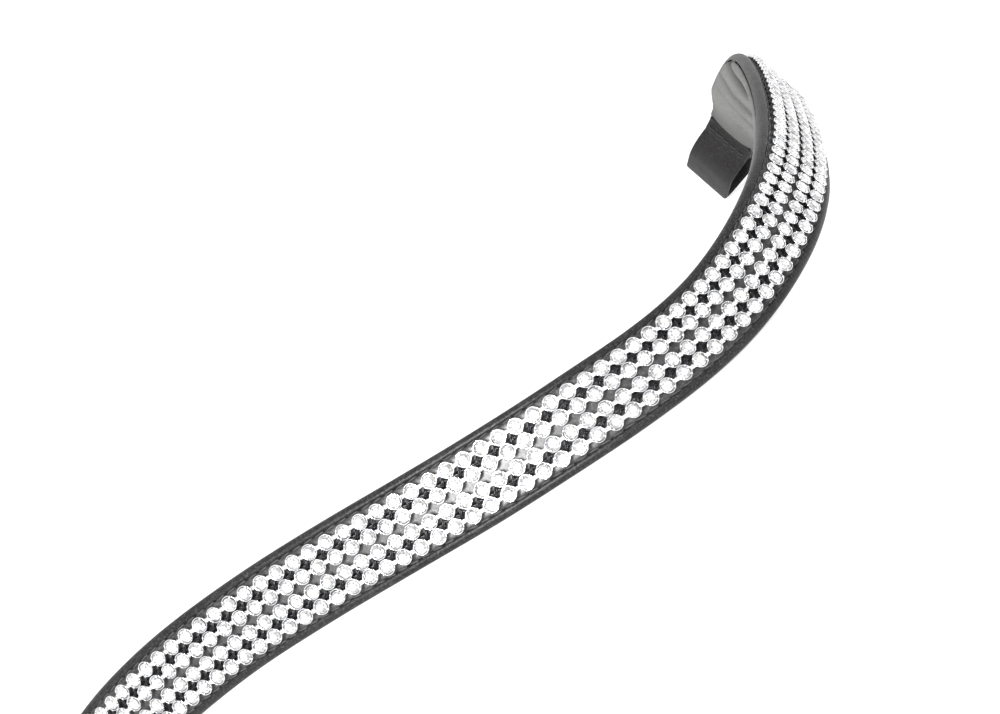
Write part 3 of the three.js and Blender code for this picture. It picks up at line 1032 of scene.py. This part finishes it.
def loop_middle():
    """Middle of the loop's folded strap, as (along, out), from the front of its root to the back."""
    radius = LOOP_OPENING / 2 + LOOP_STRAP / 2
    centre = LOOP_FRONT - LOOP_OPENING / 2 - LOOP_STRAP
    fold = HALF_LENGTH - LOOP_OPENING / 2 - LOOP_STRAP
    sewn = LOOP_START + LOOP_ROOT
    swell = sewn + LOOP_RISE / 3
    parted = sewn + LOOP_RISE
    top = LOOP_TAIL_TOP - LOOP_STRAP / 2
    foot = top - LOOP_STRAP
    front = centre + radius
    back = centre - radius
    path = np.concatenate([
        [[LOOP_START - ROOT_HIDDEN, top], [sewn - 2, top]],
        quadratic((sewn, top), (swell, front), (parted, front), 14),
        [[(parted + fold) / 2, front]],
        arc(fold, centre, radius, radius, 90, -90, 26),
        [[(parted + fold) / 2, back]],
        quadratic((parted, back), (swell, back), (sewn, foot), 14),
        [[sewn - 2, foot], [LOOP_START - ROOT_HIDDEN, foot]],
    ])
    even = points_at(path, np.arange(0, distances(path)[-1], STRAP_STEP))
    for _ in range(4):
        even[1:-1] = (even[:-2] + 2 * even[1:-1] + even[2:]) / 4
    return even


def loop_strap(side):
    """Strap with rounded edges, folded on itself, its back end skived."""
    middle = loop_middle()
    half = LOOP_STRAP / 2 - STRAP_TRIM
    corner = LOOP_HALF_WIDTH - STRAP_ROUND
    section = rounded(np.concatenate([
        arc(corner, 0, STRAP_ROUND + STRAP_EXTRA, half, 90, -90, 9),
        arc(-corner, 0, STRAP_ROUND + STRAP_EXTRA, half, 270, 90, 9),
    ]), step=0.25, passes=1)
    tangent = unit(np.gradient(middle, axis=0))
    run = np.arange(len(middle))[:, None] * STRAP_STEP
    skived = SKIVED + (1 - SKIVED) * smoothstep(run[::-1], *SKIVED_OVER)
    middle[:, 1:] += (1 - skived) * LOOP_STRAP / 2
    uneven = 1 + STRAP_BUMP * noise(run / 3, section[:, 0] / 2, seed=41 if side > 0 else 42)
    thick = section[:, 1] * skived * uneven
    across = section[:, 0] + STRAP_WAVER * noise(run / 5, np.sign(section[:, 0]) * 4, seed=43)
    along = side * (middle[:, :1] - tangent[:, 1:] * thick)
    out = middle[:, 1:] + tangent[:, :1] * thick
    return np.stack([along, across, out], -1).reshape(-1, 3), tube_faces(*across.shape)


def loop_tail(side):
    """Thin end of the strap, held between the front leather and the lining."""
    start = side * LOOP_TAIL_START
    end = side * (LOOP_START + TAIL_OVERLAP)
    section = [[start, TAIL_UNDER], [end, TAIL_UNDER], [end, TAIL_TOP], [start, TAIL_TOP]]
    half = LOOP_HALF_WIDTH - TAIL_TRIM
    points = [[along, across, out] for across in np.linspace(-half, half, 9) for along, out in section]
    return np.array(points), tube_faces(9, len(section))


def loop(name, side):
    """One loop for the headpiece."""
    points, faces = join_copies([loop_strap(side), loop_tail(side)])
    piece = make_piece(f"strap_loop_{name}", bent(points), faces, [LOOP])
    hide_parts(f"loop_{name}")


def loop_stitches(name, side):
    """Two short rows of stitches through the root, on its front and back."""
    copies = []
    part = np.linspace(-1, 1, 9)
    across = LOOP_STITCH_HALF * part
    dip = LOOP_THREAD_DIP * np.abs(part) ** 3
    front = LOOP_TAIL_TOP + LOOP_THREAD_LIFT - dip
    back = LOOP_TAIL_TOP - 2 * LOOP_STRAP - LOOP_THREAD_LIFT + dip
    for seam in LOOP_SEAMS:
        along = side * (seam + LOOP_THREAD_SLANT * across)
        for middle in LOOP_STITCH_PLACES:
            for out in (front, back):
                path = np.stack([along, middle + across, out], -1)
                copies.append(tube(path, LOOP_THREAD_RADIUS, sides=7))
    points, faces = join_copies(copies)
    piece = make_piece(f"loop_stitches_{name}", bent(points), faces, [DULL_THREAD])
    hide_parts(f"loop_thread_{name}")


# ---------------------------------------------------------------- stage

# Camera, as (along, across, out) in the straight frame of the band's middle, in millimetres
CAMERA_PLACE = (-485.583, -114.791, 786.251)
CAMERA_AIM = (-44.483, 19.741, 13.379)
CAMERA_ROLL = -50.271  # degrees; at 0 the band's across direction is upright in the picture
CAMERA_LENS = 185.573
CAMERA_SENSOR = 36
CAMERA_NEAR = 0.05  # metres
CAMERA_FAR = 100
FLOOR_RADIUS = 30  # metres
FLOOR_SIDES = 64
FLOOR_GLOW = 0.8
KEY_TARGET = -50  # flat distance along the band, in millimetres
KEY_DIRECTION = (-0.73, 0.09, 0.68)  # from the target to the light, in the frame of the band's middle
KEY_DISTANCE = 0.9  # metres
KEY_SIZE = 0.28
KEY_POWER = 16
WORLD_STRENGTH = 1.05


def middle_to_row(vector):
    """Turns a vector of the frame of the band's middle into the row frame."""
    return np.asarray(vector) @ LINE_FRAMES[0].T @ LEAN_BACK.T


def camera():
    """Camera at the photograph's viewing angle."""
    data = bpy.data.cameras.new("photo_camera")
    data.sensor_width = CAMERA_SENSOR
    data.lens = CAMERA_LENS
    data.clip_start = CAMERA_NEAR
    data.clip_end = CAMERA_FAR
    forward = unit(np.subtract(CAMERA_AIM, CAMERA_PLACE))
    level = unit(np.cross(forward, (0, 1, 0)))
    roll = math.radians(CAMERA_ROLL)
    right = math.cos(roll) * level + math.sin(roll) * np.cross(level, forward)
    axes = [middle_to_row(axis) for axis in (right, np.cross(right, forward), -forward)]
    matrix = Matrix(np.stack(axes, -1).tolist()).to_4x4()
    matrix.translation = Vector((middle_to_row(CAMERA_PLACE) + OFFSET) * MM)
    thing = bpy.data.objects.new("photo_camera", data)
    thing.matrix_world = matrix
    bpy.context.scene.collection.objects.link(thing)
    bpy.context.scene.camera = thing


def floor():
    """Wide, pale, flat floor."""
    angles = np.arange(FLOOR_SIDES) * 2 * np.pi / FLOOR_SIDES
    points = FLOOR_RADIUS * np.stack([np.cos(angles), np.sin(angles), np.zeros(FLOOR_SIDES)], -1)
    mesh = bpy.data.meshes.new("floor")
    mesh.from_pydata(points.tolist(), [], [list(range(FLOOR_SIDES))])
    thing = bpy.data.objects.new("floor", mesh)
    bpy.context.scene.collection.objects.link(thing)
    material, nodes, links, shader, vector = new_material("floor_paper")
    paper = noise_node(nodes, links, vector, scale=400)
    colour = ramp_node(nodes, links, paper, [(0.3, grey(0.4)), (0.7, grey(0.42))])
    links.new(colour, shader.inputs["Base Color"])
    shader.inputs["Roughness"].default_value = 1
    shader.inputs["Specular IOR Level"].default_value = 0
    shader.inputs["Emission Color"].default_value = (1, 1, 1, 1)
    shader.inputs["Emission Strength"].default_value = FLOOR_GLOW
    mesh.materials.append(material)


def world():
    """White surroundings, as in a light tent."""
    surroundings = bpy.data.worlds.new("studio")
    bpy.context.scene.world = surroundings
    surroundings.use_nodes = True
    background = surroundings.node_tree.nodes["Background"]
    background.inputs["Color"].default_value = (1, 1, 1, 1)
    background.inputs["Strength"].default_value = WORLD_STRENGTH


def key_light():
    """Soft square light from the camera's side, aimed left of the band's middle."""
    data = bpy.data.lights.new("key", "AREA")
    data.size = KEY_SIZE
    data.energy = KEY_POWER
    aim = -Vector(middle_to_row(KEY_DIRECTION)).normalized()
    thing = bpy.data.objects.new("key", data)
    thing.location = Vector(place(KEY_TARGET, 0, 0)) - KEY_DISTANCE * aim
    thing.rotation_mode = "QUATERNION"
    thing.rotation_quaternion = aim.to_track_quat("-Z", "Y")
    bpy.context.scene.collection.objects.link(thing)


camera()
front_leather()
lining_leather()
padding()
stiffening_tape()
for edge_name, sign in EDGES:
    filler_cord(edge_name, sign)
for edge_name, sign in EDGES:
    edge_stitches(edge_name, sign)
    chain_stitches(edge_name, sign)
for index, across_place in enumerate(CHAIN_PLACES):
    crystal_chain(index + 1, across_place)
for loop_name, sign in (("right", 1), ("left", -1)):
    loop(loop_name, sign)
    loop_stitches(loop_name, sign)
floor()
world()
key_light()
bpy.context.scene.view_settings.view_transform = "Standard"
